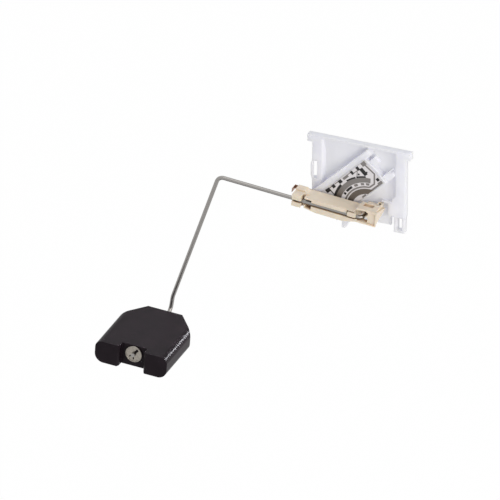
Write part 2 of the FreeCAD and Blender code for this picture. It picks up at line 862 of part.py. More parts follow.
def raised():
    turn = FreeCAD.Rotation(FreeCAD.Vector(0, 1, 0), size.lever_raise.value)
    return FreeCAD.Placement(FreeCAD.Vector(0, 0, 0), turn)


def build_lever():
    body = new_body("wiper_carrier")
    add_lever_beam(body)
    add_lever_block(body)
    add_lever_clip(body)
    cut_wire_way(body)
    add_wire_lugs(body)
    add_hub(body)
    add_stakes(body)
    body.Placement = raised()
    return body


def add_lever_beam(body):
    """The long channel: a front beam for the wire, a top skin and a back wall."""
    front, back = -LEVER_FRONT, -LEVER_BACK
    half, foot, skin = size.lever_half_height, -size.lever_foot, size.lever_skin
    beam_back = front + size.lever_beam
    wall_front = back - size.lever_back_skin
    profile = [
        (front, foot),
        (beam_back, foot),
        (beam_back, half - skin),
        (wall_front, half - skin),
        (wall_front, foot),
        (back, foot),
        (back, half),
        (front, half - skin / 4),
    ]
    left, right = -size.lever_body_left, -size.lever_block_left
    add_prism(body, left, right, [profile], plane="YZ_Plane")
    left_taper = [(left, foot), (left + size.beam_taper, foot), (left, foot + size.foot_taper_rise)]
    right_taper = [(right - size.beam_taper, foot), (right, foot), (right, -size.block_foot)]
    cut_prism(body, LEVER_BACK, LEVER_FRONT, [left_taper, right_taper])


def add_lever_block(body):
    """The block round the pivot, whose underside rises towards the back, and its corner post."""
    front, back = -LEVER_FRONT, -HUB_BACK
    front_back = -LEVER_BACK
    foot_rise = (size.block_foot + size.block_back_foot) / (LEVER_FRONT - HUB_BACK)
    step_foot = -size.block_foot + foot_rise * (LEVER_FRONT - LEVER_BACK)
    profile = [
        (front, -size.block_foot),
        (front_back, step_foot),
        (front_back, size.post_top),
        (front, size.block_top),
    ]
    left, right = -size.lever_block_left, size.lever_block_right
    add_prism(body, left, right, [profile], plane="YZ_Plane")
    tail = [
        (front_back, step_foot),
        (back, size.block_back_foot),
        (back, size.block_back_top),
        (front_back, size.block_back_top),
    ]
    add_prism(body, -size.block_back_left, right, [tail], plane="YZ_Plane")
    post = rectangle(right - size.post_width, right, size.block_back_foot, size.post_top)
    add_prism(body, HUB_BACK, HUB_BACK + size.post_width, [post])
    cut_block_hollows(body)
    cut_block_side(body)


def cut_block_hollows(body):
    """The tray on the block's top, the window in its post and the panel in its front."""
    right = size.lever_block_right
    skin = size.lever_skin
    tray_back = -LEVER_BACK - skin
    tray_front = -WIRE_BACK_WALL + skin / 3
    tray = rectangle(-size.block_back_left, right - size.lever_beam, tray_front, tray_back)
    cut_prism(body, size.post_top - skin, size.block_top, [tray], plane="XY_Plane")
    frame = skin / 2
    window_left = right - size.post_width + frame
    window_right = right - size.bank_width - frame
    window_front = -HUB_BACK - size.post_width + frame
    window = rectangle(window_left, window_right, window_front, -HUB_BACK - skin)
    cut_prism(body, size.block_back_foot + skin, size.post_top, [window], plane="XY_Plane")
    panel = [
        (frame - size.lever_block_left, -WIRE_WAY - size.running_gap),
        (right - frame, frame - size.block_foot),
        (right - frame, size.block_top - skin),
        (size.pocket_right, size.block_top - skin),
        (size.pocket_round - size.pocket_left, ZERO),
    ]
    cut_prism(body, LEVER_FRONT - frame, LEVER_FRONT, [panel])


def cut_block_side(body):
    """The step behind the front rib on the block's right side, and the bank that falls to its back."""
    right = size.lever_block_right
    rib_back, back = size.lever_skin - LEVER_FRONT, -HUB_BACK
    step = rectangle(right - size.side_step, right, rib_back, back)
    cut_prism(body, -size.block_foot, size.block_top, [step], plane="XY_Plane")
    bank = [
        (rib_back, size.bank_front),
        (back, size.bank_back),
        (back, size.block_top),
        (rib_back, size.block_top),
    ]
    cut_prism(body, right - size.bank_width, right, [bank], plane="YZ_Plane")


def add_lever_clip(body):
    """The clip at the left end: a hump over the wire that slopes down to the beam, and the jaw."""
    left = -size.clip_left
    right = left + size.clip_length
    beam_left = -size.lever_body_left + size.lever_skin
    low = WIRE_WAY
    step_top = size.clip_top - size.clip_step
    back = LEVER_BACK + size.lever_skin / 2
    hump = [
        (left, low),
        (beam_left, low),
        (beam_left, size.lever_half_height - size.lever_skin / 2),
        (right, size.clip_top),
        (left, size.clip_top),
    ]
    add_prism(body, back, WIRE_BACK_WALL, [hump])
    add_prism(body, WIRE_BACK_WALL, LEVER_FRONT, [rectangle(left, right, low, step_top)])
    spine = rectangle(left, beam_left, -size.lever_half_height, step_top)
    add_prism(body, WIRE_BACK_WALL, WIRE_WAY_BACK, [spine])
    jaw = rectangle(left, right, -size.lever_half_height + size.lever_skin / 2, -WIRE_WAY)
    add_prism(body, WIRE_BACK_WALL, LUG_FRONT, [jaw])
    tip_top = -WIRE_RADIUS + size.lever_skin / 2
    add_prism(body, WIRE_WAY_FRONT, LUG_FRONT, [rectangle(left, right, -WIRE_WAY, tip_top)])


def cut_wire_way(body):
    """The open groove along the front, its windows at the left and the pocket where the wire turns in."""
    half = WIRE_WAY
    left, right = -size.pocket_left, size.pocket_right
    body_left = -size.lever_body_left
    cut_prism(body, WIRE_WAY_BACK, LEVER_FRONT, [rectangle(body_left, left, -half, half)])
    open_right = body_left + size.lever_beam
    frame = size.lever_skin / 2
    upper = rectangle(body_left, open_right, half, size.lever_half_height - size.lever_skin)
    foot = frame - size.lever_foot
    taper = size.foot_taper_rise / size.beam_taper
    lower = [
        (body_left + frame, foot + size.foot_taper_rise - taper * frame),
        (open_right, foot + size.foot_taper_rise - taper * size.lever_beam),
        (open_right, -half),
        (body_left + frame, -half),
    ]
    cut_prism(body, WIRE_WAY_BACK, LEVER_FRONT, [upper, lower])
    lug_left = -size.lug_left
    lug_right, slot_top = lug_left + size.lug_length, size.lug_top + size.lug_slot
    lug_slot = [
        (lug_left - frame, half),
        (lug_left, half),
        (lug_left, size.lug_top),
        (lug_right, size.lug_top),
        (lug_right, slot_top),
        (lug_left - frame, slot_top),
    ]
    cut_prism(body, LEVER_FRONT - size.lever_skin, LEVER_FRONT, [lug_slot])
    well_half = half + size.running_gap
    well = rectangle(left, right, -well_half, well_half)
    cut_prism(body, LEVER_BACK + size.lever_skin, WIRE_WAY_FRONT, [well])
    top, turn = size.pocket_top, size.pocket_round
    rim = [
        (left, -half),
        (left + turn, -half / 2),
        (right - turn * 1.5, half / 2),
        (right - turn / 2, half + turn / 2),
        (right, top - turn * 1.25),
        (right, top - turn / 2),
        (right - turn / 2, top),
        (left + turn / 2, top - turn / 4),
        (left, top - turn / 2),
    ]
    cut_prism(body, WIRE_BACK_WALL, LEVER_FRONT, [rim])
    deep_left, deep_right = frame - size.lever_block_left, right - frame
    deep = rectangle(deep_left, deep_right, ZERO, size.post_top - size.lever_skin - frame)
    cut_prism(body, WIRE_BACK_WALL - size.lever_skin * 2, WIRE_BACK_WALL, [deep])


def add_wire_lugs(body):
    """The two snap hooks that come down in front of the wire."""
    left = -size.clip_left
    clip_tip = WIRE_RADIUS - size.lever_skin / 4
    step_top = size.clip_top - size.clip_step
    clip_hook = rectangle(left, left + size.clip_length, clip_tip, step_top)
    add_prism(body, WIRE_WAY_FRONT, LUG_FRONT, [clip_hook])
    brow_low = (step_top + clip_tip) / 2
    brow = rectangle(left, left + size.clip_length, brow_low, step_top)
    add_prism(body, LUG_FRONT, LUG_FRONT + size.lever_skin / 3, [brow])
    lug_left = -size.lug_left
    lug_right = lug_left + size.lug_length
    lug = rectangle(lug_left, lug_right, size.lug_foot, size.lug_top)
    add_prism(body, WIRE_WAY_FRONT, LUG_FRONT, [lug])


def add_hub(body):
    """The round hub behind the block, its thin flange and the bore for the wire."""
    centre = (ZERO, ZERO)
    add_prism(body, HUB_BACK, LEVER_BACK + size.lever_skin, circles=[(centre, size.hub_radius)])
    add_prism(body, HUB_BACK, HUB_BACK + size.hub_flange_wall,
              circles=[(centre, size.hub_radius + size.hub_flange)])
    cut_prism(body, HUB_BACK, LEVER_BACK + size.lever_skin, circles=[(centre, WIRE_WAY)])


STAKE_PLACES = [(-size.wiper_root_left + size.wiper_root / 2, side * size.stake_offset)
                for side in (1, -1)]


def add_stakes(body):
    """The two stakes on the back wall that hold the wiper spring."""
    front = LEVER_BACK + size.lever_back_skin
    back = LEVER_BACK - size.spring_sheet - size.spring_sheet / 3
    add_prism(body, back, front, circles=[(place, size.stake_radius) for place in STAKE_PLACES])


# Wiper spring under the lever, raised with it

TIP_PLACES = (
    ((size.outer_band_inside + size.outer_band_outside) / 2, 1),
    ((size.inner_band_inside + size.inner_band_outside) / 2, -1),
)


def finger_end(radius, side):
    """Where a finger's tip lies on the level lever, at a radius and beside the centre line."""
    offset = (size.finger_split + size.finger_width) / 2
    reach = Size(math.sqrt(radius.value ** 2 - offset.value ** 2),
                 f"sqrt({radius.formula} * {radius.formula} - {offset.formula} * {offset.formula})")
    return (-reach, side * offset)


def build_wiper_spring():
    """A stamped sheet with two fingers that bend towards the card and a tab round the lever's end."""
    body = new_body("wiper_spring")
    front, back = -LEVER_BACK, -LEVER_BACK + size.spring_sheet
    left = -size.wiper_root_left
    root_right = left + size.wiper_root
    width = size.finger_width * 2 + size.finger_split
    root = rectangle(left, root_right, -width / 2, width / 2)
    add_prism(body, LEVER_BACK - size.spring_sheet, LEVER_BACK, [root])
    tip_back = -PRINT_FACE - size.tip_height
    tip_front = tip_back - size.spring_sheet
    tab_left = -size.clip_left - size.spring_tab_gap
    tab_low, tab_high = size.spring_tab_low, size.spring_tab_low + size.spring_tab_width
    strip = rectangle(tab_left, left + size.spring_tab_width, tab_low, tab_high)
    add_prism(body, LEVER_BACK - size.spring_sheet, LEVER_BACK, [strip])
    tab = rectangle(tab_left, tab_left + size.spring_sheet, tab_low, tab_high)
    add_prism(body, LEVER_BACK - size.spring_sheet, LEVER_BACK + size.spring_tab_depth, [tab])
    for radius, side in TIP_PLACES:
        place = finger_end(radius, side)
        bend = place[0] - size.finger_turn
        end = place[0] + size.finger_end
        finger = [
            (root_right, front),
            (root_right, back),
            (bend, back),
            (place[0], tip_back),
            (end, tip_back),
            (end, tip_front),
            (place[0], tip_front),
            (bend, front),
        ]
        middle = place[1]
        half = size.finger_width / 2
        add_prism(body, middle - half, middle + half, [finger], plane="XY_Plane")
    holes = [(place, size.stake_radius + size.bearing_clearance) for place in STAKE_PLACES]
    cut_prism(body, LEVER_BACK - size.spring_sheet, LEVER_BACK, circles=holes)
    body.Placement = raised()
    return body


def build_wiper_tips():
    """The contact rivets under the fingers, one solid each."""
    body = new_body("wiper_tips")
    circles = []
    for radius, side in TIP_PLACES:
        place = finger_end(radius, side)
        circles.append(((place[0] + size.finger_end / 2, place[1]), size.tip_radius))
    add_prism(body, PRINT_FACE, PRINT_FACE + size.tip_height, circles=circles)
    body.Placement = raised()
    return body


# Float wire

def wire_corners():
    """The corners of the wire's line, from its end in the bearing to its end beyond the washer."""
    depth = WIRE_DEPTH.value
    raise_angle = math.radians(size.lever_raise.value)
    drop_angle = math.radians(size.drop_angle.value)
    tail_angle = math.radians(size.tail_angle.value)
    start = FreeCAD.Vector(0, -size.bearing_wall.value - size.running_gap.value, 0)
    pivot = FreeCAD.Vector(0, -depth, 0)
    arm = FreeCAD.Vector(-math.cos(raise_angle), 0, math.sin(raise_angle)) * size.arm_reach.value
    drop = FreeCAD.Vector(-math.sin(drop_angle), 0, -math.cos(drop_angle)) * size.drop_reach.value
    tail = FreeCAD.Vector(-math.sin(tail_angle), 0, -math.cos(tail_angle)) * size.tail_reach.value
    elbow = pivot + arm
    knee = elbow + drop
    turn = knee + tail
    end = FreeCAD.Vector(turn.x, -WASHER_FRONT.value - size.wire_end.value, turn.z)
    return [start, pivot, elbow, knee, turn, end]


FLOAT_BACK = WIRE_DEPTH + size.float_gap
NOTCH_WALL = FLOAT_BACK + size.float_length - size.notch_depth
WASHER_BACK = NOTCH_WALL + size.running_gap
WASHER_FRONT = WASHER_BACK + size.washer_wall


def rounded_line(corners, radii):
    """Straight runs joined by tangent arcs, one radius for each inner corner."""
    edges = []
    previous = corners[0]
    for before, corner, after, radius in zip(corners, corners[1:], corners[2:], radii):
        towards = (before - corner).normalize()
        away = (after - corner).normalize()
        half = towards.getAngle(away) / 2
        reach = radius / math.tan(half)
        start = corner + towards * reach
        end = corner + away * reach
        bisector = (towards + away).normalize()
        middle = corner + bisector * (radius / math.sin(half) - radius)
        edges.append(Part.LineSegment(previous, start).toShape())
        edges.append(Part.Arc(start, middle, end).toShape())
        previous = end
    edges.append(Part.LineSegment(previous, corners[-1]).toShape())
    return Part.Wire(edges)


def build_wire():
    """One length of round wire bent five times, swept along straight runs and tangent arcs."""
    corners = wire_corners()
    radii = [size.pivot_bend.value, size.arm_bend.value, size.tail_bend.value, size.float_bend.value]
    line = rounded_line(corners, radii)
    radius = WIRE_RADIUS.value
    section = Part.Wire([Part.makeCircle(radius, corners[0], VIEW)])
    swept = line.makePipeShell([section], True, True)
    expected = math.pi * radius ** 2 * line.Length
    if abs(swept.Volume - expected) > 0.01 * expected:
        raise RuntimeError("the float wire's volume isn't its section times its length")
    wire = doc.addObject("Part::Feature", "float_wire")
    wire.Shape = swept
    wire.Label = "float_wire"
    return wire


# Float and washer, modelled about the float's bore and moved to the wire's end

def float_place(tilt):
    turn = wire_corners()[4]
    rotation = FreeCAD.Rotation(FreeCAD.Vector(0, 1, 0), tilt)
    return FreeCAD.Placement(FreeCAD.Vector(turn.x, 0, turn.z), rotation)


def build_float():
    body = new_body("float")
    half = size.float_width / 2
    top = size.float_axis_drop
    foot = top - size.float_height
    front = FLOAT_BACK + size.float_length
    add_prism(body, FLOAT_BACK, front, [rectangle(-half, half, foot, top)])
    side_places = [FreeCAD.Vector(side * half.value, 0, top.value) for side in (1, -1)]
    foot_places = [FreeCAD.Vector(side * half.value, 0, foot.value) for side in (1, -1)]
    round_edges(body, size.float_top_round, side_places, VIEW)
    round_edges(body, size.float_foot_round, foot_places, VIEW)
    cut_back_corners(body, half, foot, top)
    cut_notch(body, front, foot, top)
    bore = WIRE_RADIUS + size.float_bore_clearance
    cut_prism(body, FLOAT_BACK, front, circles=[((ZERO, ZERO), bore)])
    body.Placement = float_place(size.float_tilt.value)
    return body


def cut_back_corners(body, half, foot, top):
    back = -FLOAT_BACK
    for side in (1, -1):
        corner = [
            (side * (half - size.float_corner_width), back + 1),
            (side * (half - size.float_corner_width), back),
            (side * half, back - size.float_corner_length),
            (side * (half + 1), back - size.float_corner_length),
            (side * (half + 1), back + 1),
        ]
        cut_prism(body, foot, top, [corner], plane="XY_Plane")


def cut_notch(body, front, foot, top):
    """The slot in the float's front face, with bevelled front edges."""
    half, bevel = size.notch_width / 2, size.notch_bevel
    wall, face = -NOTCH_WALL, -front
    notch = [
        (-half, wall),
        (half, wall),
        (half, face + bevel),
        (half + bevel, face - 1),
        (-half - bevel, face - 1),
        (-half, face + bevel),
    ]
    cut_prism(body, foot, top, [notch], plane="XY_Plane")


# Each slot's raised angle, its width and how far it reaches as a share of the washer's radius
WASHER_SLOTS = ((50, 1.5, 0.8), (214, 0.7, 0.7), (265, 0.7, 0.7))


def build_washer():
    """The push-on washer with radial slots that keeps the float on the wire."""
    body = new_body("retaining_washer")
    centre = (ZERO, ZERO)
    bore = WIRE_WAY
    add_prism(body, WASHER_BACK, WASHER_FRONT, circles=[(centre, size.washer_radius)])
    rim = size.washer_radius - size.washer_rim
    rim_sketch = [(centre, size.washer_radius), (centre, rim)]
    add_prism(body, WASHER_FRONT, WASHER_FRONT + size.washer_wall / 2, circles=rim_sketch)
    cut_prism(body, WASHER_BACK, WASHER_FRONT, circles=[(centre, bore)])
    for angle, width, reach in WASHER_SLOTS:
        cos, sin = cosine(as_size(angle)), sine(as_size(angle))
        half = as_size(width) / 2
        end = size.washer_radius * reach
        corners = ((bore * 0.8, -half), (end, -half), (end, half), (bore * 0.8, half))
        slot = [(out * cos - side * sin, out * sin + side * cos) for out, side in corners]
        cut_prism(body, WASHER_BACK, WASHER_FRONT, [slot])
    body.Placement = float_place(0)
    return body


# Checks and export

def check_document(pieces):
    doc.recompute()
    for item in doc.Objects:
        if "Invalid" in item.State or "Error" in item.State:
            raise RuntimeError(f"{item.Label} is {item.State}")
    for piece in pieces:
        if piece.Shape.isNull() or not piece.Shape.isValid():
            raise RuntimeError(f"{piece.Label} has no valid shape")


def main():
    pieces = [build_housing(), build_card()]
    pieces += build_print()
    pieces += [build_lever(), build_wiper_spring(), build_wiper_tips()]
    pieces += [build_wire(), build_float(), build_washer()]
    check_document(pieces)
    os.makedirs("parts", exist_ok=True)
    for piece in pieces:
        piece.Shape.exportStep(f"parts/{piece.Label}.step")
        print(piece.Label, len(piece.Shape.Solids), round(piece.Shape.Volume, 2))


main()
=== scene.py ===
"""Dresses the fuel level sensor: moulded acetal, fired card, bent steel wire and foam float."""

import math

import bmesh
import bpy
from bpy.props import FloatProperty, FloatVectorProperty, PointerProperty
from mathutils import Matrix, Vector


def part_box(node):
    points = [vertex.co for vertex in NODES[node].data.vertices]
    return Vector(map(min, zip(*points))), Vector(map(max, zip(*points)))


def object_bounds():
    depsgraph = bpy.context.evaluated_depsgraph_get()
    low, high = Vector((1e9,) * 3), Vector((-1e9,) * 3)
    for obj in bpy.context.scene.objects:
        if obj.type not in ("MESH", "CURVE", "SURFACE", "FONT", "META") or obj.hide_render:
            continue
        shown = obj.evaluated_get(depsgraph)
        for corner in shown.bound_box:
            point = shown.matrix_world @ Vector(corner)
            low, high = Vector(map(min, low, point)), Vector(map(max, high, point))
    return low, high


bl_info = {
    "name": "Fuel level sensor",
    "version": (1, 0, 0),
    "blender": (4, 5, 0),
    "location": "3D View > Sidebar > Fuel sensor",
    "description": "Finishes the pieces of a fuel level sensor and sets up its studio",
    "category": "Object",
}

MM = 0.001
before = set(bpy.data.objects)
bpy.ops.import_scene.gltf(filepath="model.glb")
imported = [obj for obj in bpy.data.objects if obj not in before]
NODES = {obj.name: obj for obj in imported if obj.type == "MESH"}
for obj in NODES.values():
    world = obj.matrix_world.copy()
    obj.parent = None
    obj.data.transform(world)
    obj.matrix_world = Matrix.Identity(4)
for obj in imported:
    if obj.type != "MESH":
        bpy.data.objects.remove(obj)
CAD_BOX = [list(corner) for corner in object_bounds()]

# Camera, fitted to the photograph: how far it stands round to the right and above the horizon
CAMERA_AZIMUTH = math.radians(22.4)
CAMERA_ELEVATION = math.radians(29.0)
CAMERA_ROLL = 0.0055
# A long lens keeps the photograph's nearly parallel edges. With a longer one the views from other
# sides would stand so far away that they clip the sensor.
CAMERA_LENS = 1600.0
CAMERA_SENSOR = 36.0
VIEW_WIDTH = 300 * MM
AIM_ACROSS = -71.37 * MM
AIM_UP = -23.99 * MM
CARD_PLANE_Y = -7 * MM
# How near and far the camera sees, as multiples of its distance
CLIP_NEAR = 0.1
CLIP_FAR = 10.0

# Studio: places in metres from what a lamp lights, and the strength of the room's own light
KEY_PLACE = Vector((0.9, -0.6, 0.35))
TOP_PLACE = Vector((-0.1, -0.1, 1.0))
RIM_PLACE = Vector((0.15, 0.24, 0.1))
RIM_SPREAD = math.radians(15)
ROOM_STRENGTH = 0.58
FLOOR_HALF = 4.0
# Share of white that the camera sees on the floor, the rest is paper with the sensor's shadow
FLOOR_WHITE = 0.99

# CAD corners nearer than this are one, and CAD triangles that meet flatter than this are one face
WELD_GAP = 0.002 * MM
FLAT_ANGLE = math.radians(1.5)

# Sockets of the node that mixes two colours
MIX_FACTOR, MIX_A, MIX_B, MIX_RESULT = 0, 6, 7, 2


def linear(colour):
    """Turns an sRGB hex colour into linear values with an alpha of one."""
    channels = [int(colour[start:start + 2], 16) / 255 for start in (0, 2, 4)]
    return [c / 12.92 if c <= 0.04045 else ((c + 0.055) / 1.055) ** 2.4 for c in channels] + [1.0]


def add_node(tree, kind, values=None, links=None, **settings):
    """Adds a node with its settings, its sockets' values and its incoming links."""
    node = tree.nodes.new(kind)
    for name, value in settings.items():
        setattr(node, name, value)
    for socket, value in (values or {}).items():
        node.inputs[socket].default_value = value
    for socket, source in (links or {}).items():
        tree.links.new(source, node.inputs[socket])
    return node


def new_finish(name, **values):
    """A material with its shader's constants set, and the object's coordinates in metres."""
    material = bpy.data.materials.new(name)
    material.use_nodes = True
    tree = material.node_tree
    shader = tree.nodes["Principled BSDF"]
    for socket, value in values.items():
        shader.inputs[socket.replace("_", " ")].default_value = value
    place = add_node(tree, "ShaderNodeTexCoord").outputs["Object"]
    return material, tree, shader, place


def per_metre(size_mm):
    """The scale of a pattern whose features are this many millimetres wide."""
    return 1 / (size_mm * MM)


def dress(name, material):
    """Gives a CAD node its finish."""
    node = NODES[name]
    node.data.materials.clear()
    node.data.materials.append(material)
    return node


def soften(piece, width, segments=2, angle=30):
    """Joins the CAD triangles into whole faces and rounds the edges between them."""
    weld = piece.modifiers.new("weld", "WELD")
    weld.merge_threshold = WELD_GAP
    flat = piece.modifiers.new("whole_faces", "DECIMATE")
    flat.decimate_type = "DISSOLVE"
    flat.angle_limit = FLAT_ANGLE
    bevel = piece.modifiers.new("rounded_edges", "BEVEL")
    bevel.width = width
    bevel.segments = segments
    bevel.limit_method = "ANGLE"
    bevel.angle_limit = math.radians(angle)
    for face in piece.data.polygons:
        face.use_smooth = True
    piece.modifiers.new("even_shading", "WEIGHTED_NORMAL")


class SensorSizes(bpy.types.PropertyGroup):
    """Sizes of the finish that a user may change."""

    housing_edge: FloatProperty(
        name="Housing edge", description="Radius of the moulded housing's edges",
        default=0.3 * MM, subtype="DISTANCE", unit="LENGTH")
    lever_edge: FloatProperty(
        name="Lever edge", description="Radius of the lever's edges",
        default=0.35 * MM, subtype="DISTANCE", unit="LENGTH")
    float_edge: FloatProperty(
        name="Float edge", description="Radius of the float's edges",
        default=1.6 * MM, subtype="DISTANCE", unit="LENGTH")
    card_edge: FloatProperty(
        name="Card edge", description="Radius of the resistor card's scribed edges",
        default=0.06 * MM, subtype="DISTANCE", unit="LENGTH")
    washer_edge: FloatProperty(
        name="Washer edge", description="Radius of the stamped washer's edges",
        default=0.12 * MM, subtype="DISTANCE", unit="LENGTH")
    floor_drop: FloatProperty(
        name="Floor drop", description="How far the studio floor lies below the sensor",
        default=90 * MM, subtype="DISTANCE", unit="LENGTH")


class SensorColours(bpy.types.PropertyGroup):
    """Base colours of the finishes."""

    housing: FloatVectorProperty(
        name="Housing", description="Natural acetal of the housing",
        default=linear("E9E9F0"), size=4, min=0, max=1, subtype="COLOR")
    lever: FloatVectorProperty(
        name="Lever", description="Cream acetal of the lever",
        default=linear("E6D8C4"), size=4, min=0, max=1, subtype="COLOR")
    card: FloatVectorProperty(
        name="Card", description="Fired ceramic of the card",
        default=linear("DEDADC"), size=4, min=0, max=1, subtype="COLOR")
    contact: FloatVectorProperty(
        name="Contact print", description="Fired metal print of the bands and traces",
        default=linear("888482"), size=4, min=0, max=1, subtype="COLOR")
    resistor: FloatVectorProperty(
        name="Resistor print", description="Fired dark print of the resistors",
        default=linear("0C0A0E"), size=4, min=0, max=1, subtype="COLOR")
    wire: FloatVectorProperty(
        name="Wire", description="Drawn steel of the float wire",
        default=linear("9E9B98"), size=4, min=0, max=1, subtype="COLOR")
    washer: FloatVectorProperty(
        name="Washer", description="Zinc of the retaining washer",
        default=linear("A39D94"), size=4, min=0, max=1, subtype="COLOR")
    float_foam: FloatVectorProperty(
        name="Float foam", description="Nitrile foam of the float",
        default=linear("1E171C"), size=4, min=0, max=1, subtype="COLOR")


def natural_acetal_moulded(colour):
    """Unfilled acetal: milky and faintly blue, light passes a few millimetres into it."""
    material, tree, shader, place = new_finish(
        "natural_acetal_moulded", Roughness=0.36, IOR=1.48, Subsurface_Weight=0.8,
        Subsurface_Scale=6 * MM)
    shader.inputs["Subsurface Radius"].default_value = (1.0, 1.0, 1.15)
    # Flow of the melt clouds the colour over about a centimetre
    cloud = add_node(tree, "ShaderNodeTexNoise", {"Scale": per_metre(11), "Detail": 2},
                     {"Vector": place})
    tint = add_node(tree, "ShaderNodeValToRGB", links={"Fac": cloud.outputs["Fac"]})
    tint.color_ramp.elements[0].position = 0.3
    tint.color_ramp.elements[0].color = [c * 0.93 for c in colour[:3]] + [1]
    tint.color_ramp.elements[1].position = 0.7
    tint.color_ramp.elements[1].color = colour
    tree.links.new(tint.outputs["Color"], shader.inputs["Base Color"])
    # Fine spark grain of the mould
    grain = add_node(tree, "ShaderNodeTexNoise", {"Scale": per_metre(0.45), "Detail": 3},
                     {"Vector": place})
    bump = add_node(tree, "ShaderNodeBump", {"Strength": 0.12, "Distance": 0.02 * MM},
                    {"Height": grain.outputs["Fac"]})
    tree.links.new(bump.outputs["Normal"], shader.inputs["Normal"])
    return material


def cream_acetal_moulded(colour):
    """Dyed acetal: cream and waxy, with painted shade that darkens its hollows to tan and brown."""
    material, tree, shader, place = new_finish(
        "cream_acetal_moulded", Roughness=0.38, IOR=1.48, Subsurface_Weight=0.25,
        Subsurface_Scale=1.5 * MM)
    shader.inputs["Subsurface Radius"].default_value = (1.0, 0.7, 0.4)
    cloud = add_node(tree, "ShaderNodeTexNoise", {"Scale": per_metre(6), "Detail": 2},
                     {"Vector": place})
    tint = add_node(tree, "ShaderNodeValToRGB", links={"Fac": cloud.outputs["Fac"]})
    tint.color_ramp.elements[0].position = 0.3
    tint.color_ramp.elements[0].color = [c * 0.9 for c in colour[:3]] + [1]
    tint.color_ramp.elements[1].position = 0.65
    tint.color_ramp.elements[1].color = colour
    # Painted shade: hollows up to 3.5 mm wide are darkened to tan, and to brown where they are deep
    hollow = add_node(tree, "ShaderNodeAmbientOcclusion", {"Distance": 3.5 * MM}, samples=8)
    painted_hollow_shade = add_node(tree, "ShaderNodeValToRGB", links={"Fac": hollow.outputs["AO"]})
    painted_hollow_shade.color_ramp.elements[0].position = 0.08
    painted_hollow_shade.color_ramp.elements[0].color = linear("7C6048")
    painted_hollow_shade.color_ramp.elements[1].position = 0.75
    painted_hollow_shade.color_ramp.elements[1].color = linear("FFFFFF")
    painted_hollow_shade.color_ramp.elements.new(0.4).color = linear("E4D2BE")
    # Multiplies the painted shade of the hollows into the cream colour
    shade = add_node(tree, "ShaderNodeMix", {MIX_FACTOR: 1.0},
                     {MIX_A: tint.outputs["Color"], MIX_B: painted_hollow_shade.outputs["Color"]},
                     data_type="RGBA", blend_type="MULTIPLY")
    tree.links.new(shade.outputs[MIX_RESULT], shader.inputs["Base Color"])
    grain = add_node(tree, "ShaderNodeTexNoise", {"Scale": per_metre(0.4), "Detail": 3},
                     {"Vector": place})
    bump = add_node(tree, "ShaderNodeBump", {"Strength": 0.15, "Distance": 0.02 * MM},
                    {"Height": grain.outputs["Fac"]})
    tree.links.new(bump.outputs["Normal"], shader.inputs["Normal"])
    return material


def alumina_ceramic_fired(colour):
    """Fired alumina: dense, off-white, with grain too fine to see, drawn at 0.3 mm so it shows."""
    material, tree, shader, place = new_finish(
        "alumina_ceramic_fired", Roughness=0.42, IOR=1.76)
    speck = add_node(tree, "ShaderNodeTexNoise", {"Scale": per_metre(0.3), "Detail": 4},
                     {"Vector": place})
    tint = add_node(tree, "ShaderNodeValToRGB", links={"Fac": speck.outputs["Fac"]})
    tint.color_ramp.elements[0].position = 0.35
    tint.color_ramp.elements[0].color = [c * 0.9 for c in colour[:3]] + [1]
    tint.color_ramp.elements[1].position = 0.6
    tint.color_ramp.elements[1].color = colour
    tree.links.new(tint.outputs["Color"], shader.inputs["Base Color"])
    bump = add_node(tree, "ShaderNodeBump", {"Strength": 0.1, "Distance": 0.01 * MM},
                    {"Height": speck.outputs["Fac"]})
    tree.links.new(bump.outputs["Normal"], shader.inputs["Normal"])
    return material


def palladium_silver_printed(name, colour, lower_left_tint):
    """Screen-printed metal: dull grey, and browner towards the card's lower left."""
    material, tree, shader, place = new_finish(name, Roughness=0.5, Metallic=0.25)
    axes = add_node(tree, "ShaderNodeSeparateXYZ", links={"Vector": place})
    # The colour turns browner towards the card's lower left, where the lever rests over the card
    along = add_node(tree, "ShaderNodeMath", {1: 0.9}, {0: axes.outputs["X"]}, operation="MULTIPLY")
    up = add_node(tree, "ShaderNodeMath", links={0: along.outputs[0], 1: axes.outputs["Z"]},
                  operation="ADD")
    fade = add_node(tree, "ShaderNodeMapRange",
                    {"From Min": -14 * MM, "From Max": -3 * MM, "To Min": 0.0, "To Max": 1.0},
                    {"Value": up.outputs[0]})
    mesh = add_node(tree, "ShaderNodeTexNoise", {"Scale": per_metre(0.35), "Detail": 3},
                    {"Vector": place})
    tint = add_node(tree, "ShaderNodeMix", {MIX_A: lower_left_tint, MIX_B: colour},
                    {MIX_FACTOR: fade.outputs["Result"]}, data_type="RGBA")
    # A quarter of the print is the darker glass that binds it
    bound = add_node(tree, "ShaderNodeMix", {MIX_FACTOR: 0.25, MIX_B: linear("5E5A58")},
                     {MIX_A: tint.outputs[MIX_RESULT]}, data_type="RGBA")
    tree.links.new(bound.outputs[MIX_RESULT], shader.inputs["Base Color"])
    bump = add_node(tree, "ShaderNodeBump", {"Strength": 0.2, "Distance": 0.01 * MM},
                    {"Height": mesh.outputs["Fac"]})
    tree.links.new(bump.outputs["Normal"], shader.inputs["Normal"])
    return material


def ruthenium_oxide_printed(colour):
    """Black resistor print: satin, with a faint texture of the screen's mesh."""
    material, tree, shader, place = new_finish("ruthenium_oxide_printed", Roughness=0.5, IOR=1.5)
    mesh = add_node(tree, "ShaderNodeTexNoise", {"Scale": per_metre(0.3), "Detail": 3},
                    {"Vector": place})
    tint = add_node(tree, "ShaderNodeValToRGB", links={"Fac": mesh.outputs["Fac"]})
    tint.color_ramp.elements[0].color = [c * 0.6 for c in colour[:3]] + [1]
    tint.color_ramp.elements[1].color = colour
    tree.links.new(tint.outputs["Color"], shader.inputs["Base Color"])
    bump = add_node(tree, "ShaderNodeBump", {"Strength": 0.2, "Distance": 0.01 * MM},
                    {"Height": mesh.outputs["Fac"]})
    tree.links.new(bump.outputs["Normal"], shader.inputs["Normal"])
    return material


